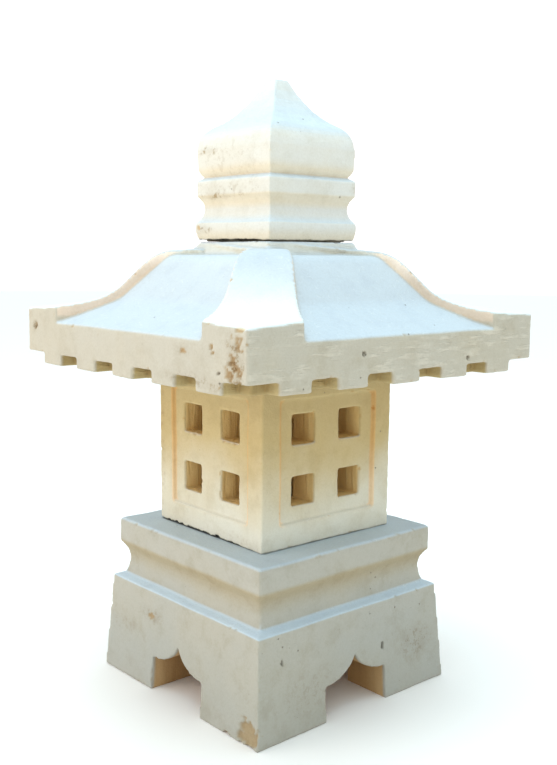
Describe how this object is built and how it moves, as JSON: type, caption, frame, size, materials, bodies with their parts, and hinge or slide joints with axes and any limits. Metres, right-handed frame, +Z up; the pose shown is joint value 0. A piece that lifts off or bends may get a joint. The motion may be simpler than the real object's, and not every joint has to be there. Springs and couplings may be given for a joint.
{
  "type": "stone lantern",
  "caption": "Square garden lantern of carved pale limestone: footed base, windowed lamp house, hipped roof with raised ridges and a bulb-shaped finial, lit by an electric bulb.",
  "frame": {"origin": "centre of the base stone's footprint, on the ground under its feet", "axes": "+Z up along the lantern's centre line; the four identical faces look along +X, -X, +Y and -Y, and the lampholder's two fixing screws lie along X"},
  "size_m": [0.45, 0.45, 0.7525],
  "materials": {
    "limestone": "matte",
    "ceramic": "gloss",
    "brass": "satin",
    "frosted_glass": "satin",
    "steel": "satin",
    "nylon": "matte",
    "rubber": "matte"
  },
  "bodies": {
    "base": {"base_stone": "limestone", "cable_grommet": "rubber", "lampholder_body": "ceramic", "lampholder_liner": "brass", "lampholder_contact": "brass", "fixing_screw_1": "steel", "fixing_screw_2": "steel", "wall_plug_1": "nylon", "wall_plug_2": "nylon"},
    "lamp_house": {"lamp_house": "limestone"},
    "roof": {"roof": "limestone"},
    "finial": {"finial": "limestone"},
    "bulb": {"bulb_cap": "brass", "bulb_tip": "brass", "bulb_globe": "frosted_glass"}
  },
  "joints": [
    {"name": "lamp_house_lift", "type": "slide", "parent": "base", "child": "lamp_house", "axis": [0, 0, 1], "range_m": [0, 0.12]},
    {"name": "roof_lift", "type": "slide", "parent": "lamp_house", "child": "roof", "axis": [0, 0, 1], "range_m": [0, 0.12]},
    {"name": "finial_lift", "type": "slide", "parent": "roof", "child": "finial", "axis": [0, 0, 1], "range_m": [0, 0.05]},
    {"name": "bulb_turn", "type": "hinge", "parent": "base", "child": "bulb", "pos_m": [0, 0, 0.25], "axis": [0, 0, 1], "continuous": true}
  ]
}
